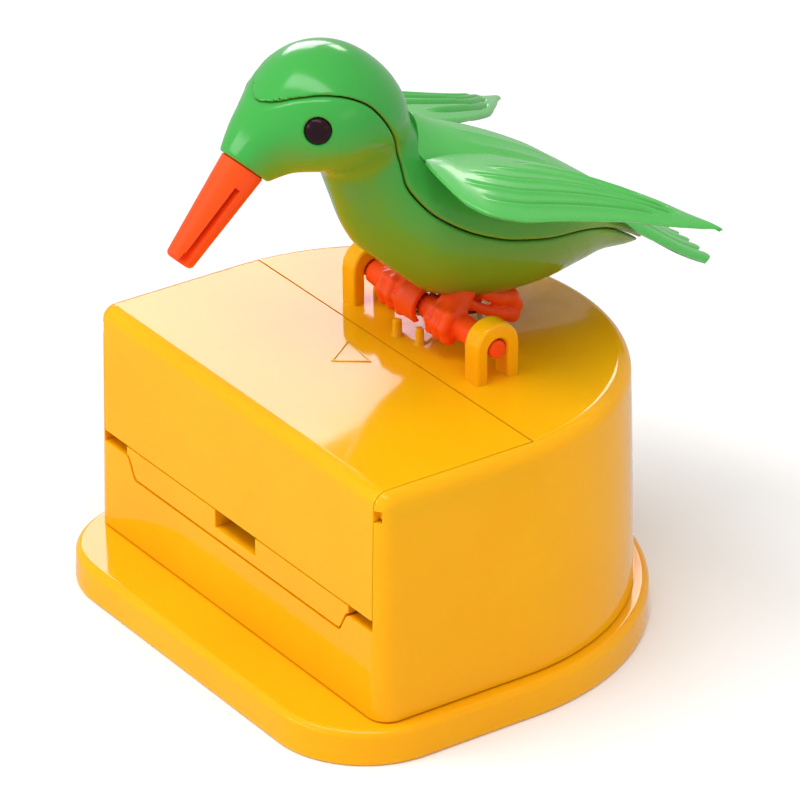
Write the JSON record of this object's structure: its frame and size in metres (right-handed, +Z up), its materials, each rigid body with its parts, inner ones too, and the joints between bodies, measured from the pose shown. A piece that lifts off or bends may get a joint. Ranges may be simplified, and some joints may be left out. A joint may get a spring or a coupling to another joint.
{
  "type": "bird toothpick dispenser",
  "caption": "Toothpick box with a sliding lid and a bird on lugs that bows to the slot in the front and springs back.",
  "frame": {"origin": "on the underside of the base, straight below the middle of the seam between the sliding lid and the rear deck", "axes": "+Z up from the table; -Y forward, where the beak points; +X to the bird's left, along its pivot bar"},
  "size_m": [0.085, 0.0944, 0.0986],
  "materials": {
    "yellow_plastic": "glossy injection-moulded plastic",
    "green_plastic": "glossy injection-moulded plastic",
    "pale_green_plastic": "satin-gloss injection-moulded plastic",
    "orange_plastic": "glossy injection-moulded plastic",
    "eye_plastic": "polished dark plastic",
    "screw_steel": "plated steel"
  },
  "bodies": {
    "box": {"base_plate": "yellow_plastic", "bottom_cover": "yellow_plastic", "base_screw_1": "screw_steel", "base_screw_2": "screw_steel", "base_screw_3": "screw_steel", "base_screw_4": "screw_steel", "box_shell": "yellow_plastic", "toothpick_chute": "yellow_plastic", "return_spring": "screw_steel"},
    "lid": {"front_lid": "yellow_plastic"},
    "bird": {"belly_shell": "green_plastic", "head_back_shell": "green_plastic", "back_and_tail": "pale_green_plastic", "left_wing": "pale_green_plastic", "right_wing": "pale_green_plastic", "left_eye": "eye_plastic", "right_eye": "eye_plastic", "beak": "orange_plastic", "feet_bracket": "orange_plastic", "feet_screw_1": "screw_steel", "feet_screw_2": "screw_steel"}
  },
  "joints": [
    {"name": "lid_slide", "type": "slide", "parent": "box", "child": "lid", "axis": [0, -1, 0], "range_m": [0, 0.05]},
    {"name": "bird_bow", "type": "hinge", "parent": "box", "child": "bird", "pos_m": [0, 0.0069, 0.0494], "axis": [1, 0, 0], "range_deg": [0, 60], "stiffness_Nm_per_rad": 0.01, "springref_deg": -20.05, "deforming": ["return_spring"]}
  ]
}
